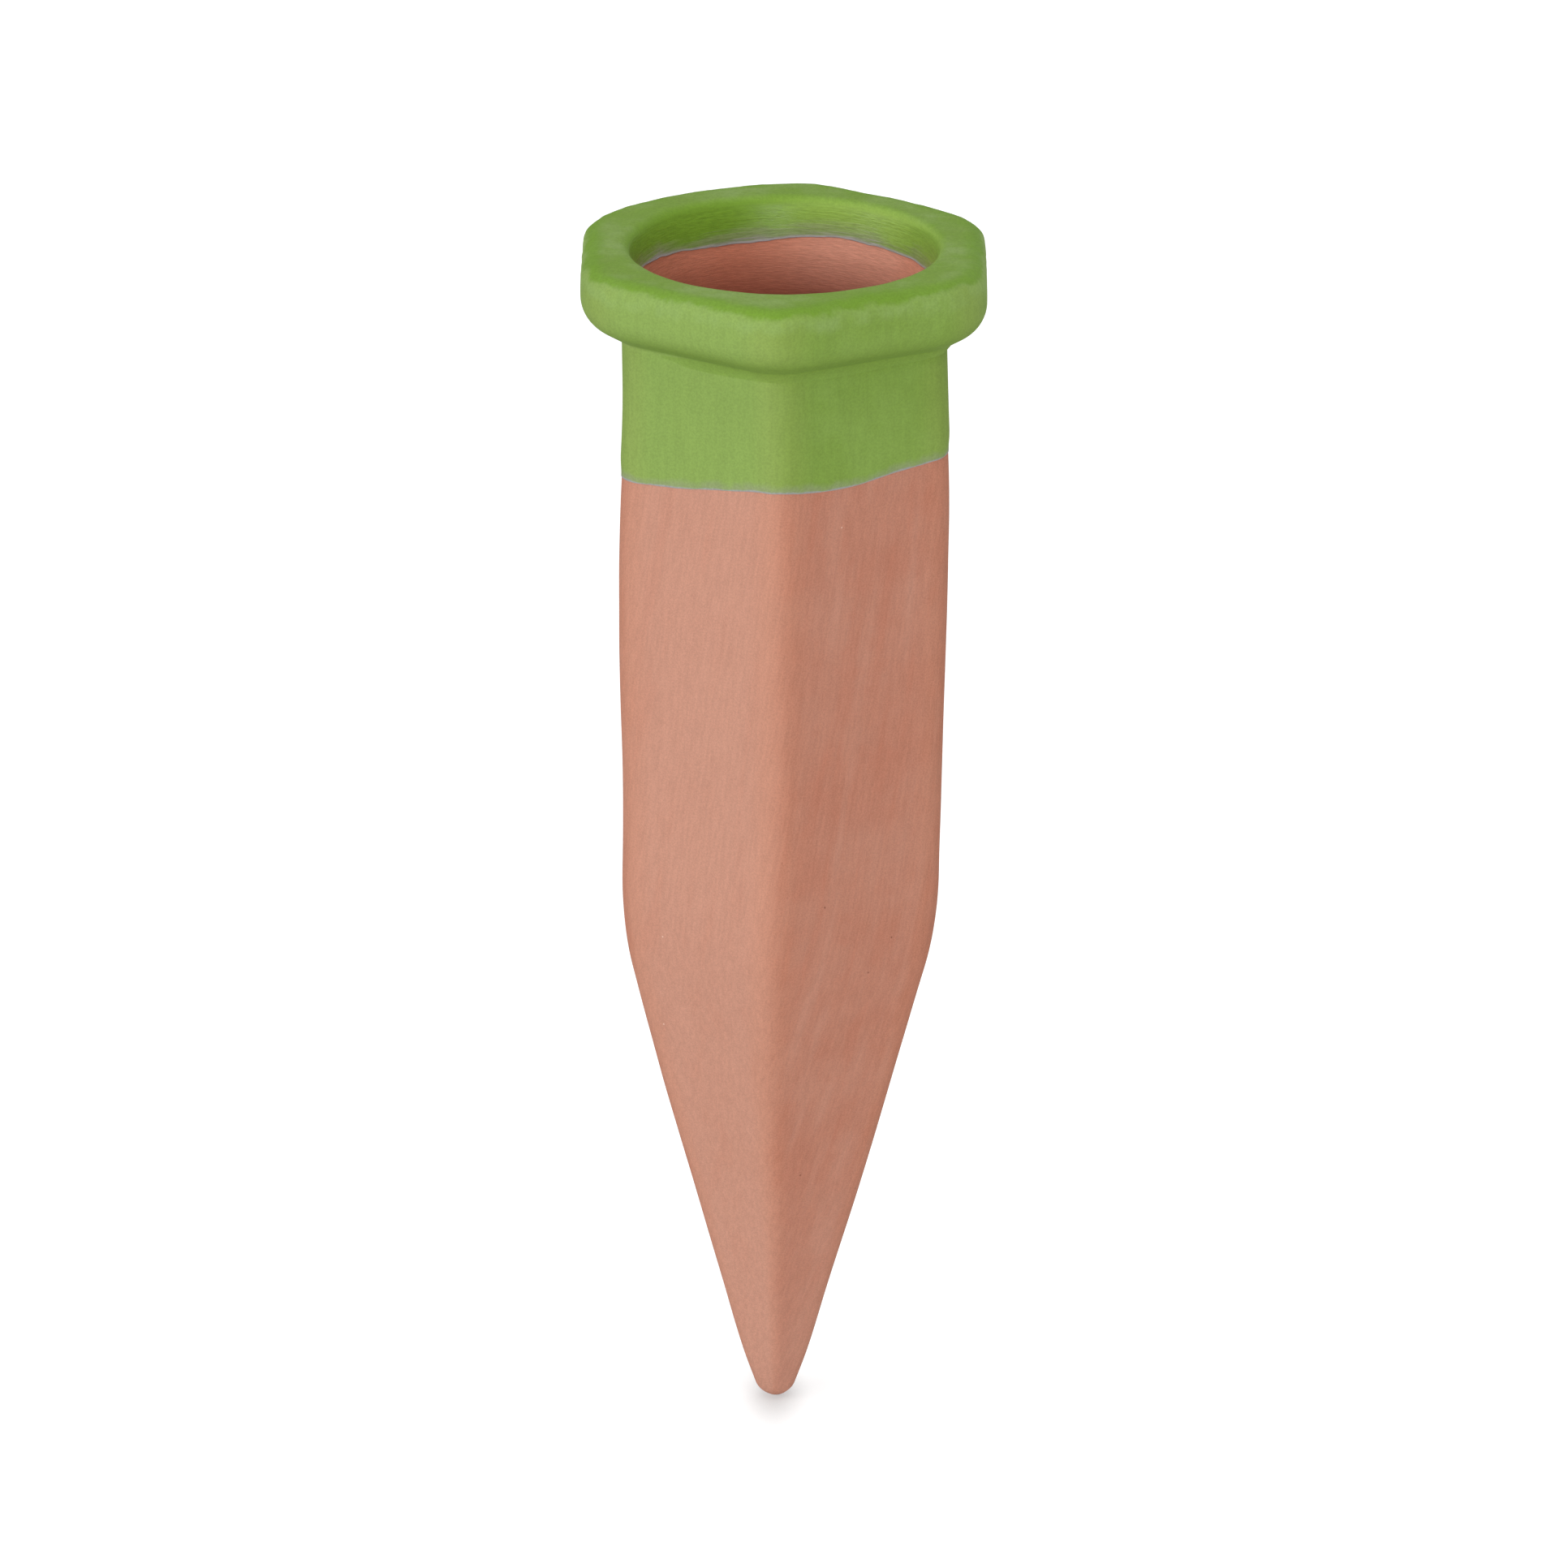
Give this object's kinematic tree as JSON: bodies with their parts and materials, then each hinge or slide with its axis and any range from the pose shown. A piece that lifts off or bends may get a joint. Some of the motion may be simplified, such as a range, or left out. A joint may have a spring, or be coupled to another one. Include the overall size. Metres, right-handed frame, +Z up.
{
  "type": "self-watering plant spike",
  "caption": "Hollow fired-clay watering spike with six flats, a thick collar round its open mouth, a blunt solid tip and a matte green slip coat over the top.",
  "frame": {"origin": "the point of the tip, on the axis of the bore", "axes": "+Z up along the bore, from the tip to the open mouth; +X and -X out through two flats, -Y out through the long edge that faces the viewer in the picture"},
  "size_m": [0.03, 0.0324, 0.095],
  "materials": {
    "terracotta": "matte",
    "green_slip": "satin"
  },
  "bodies": {
    "root": {"clay_body": "terracotta", "green_coat": "green_slip"}
  },
  "joints": []
}
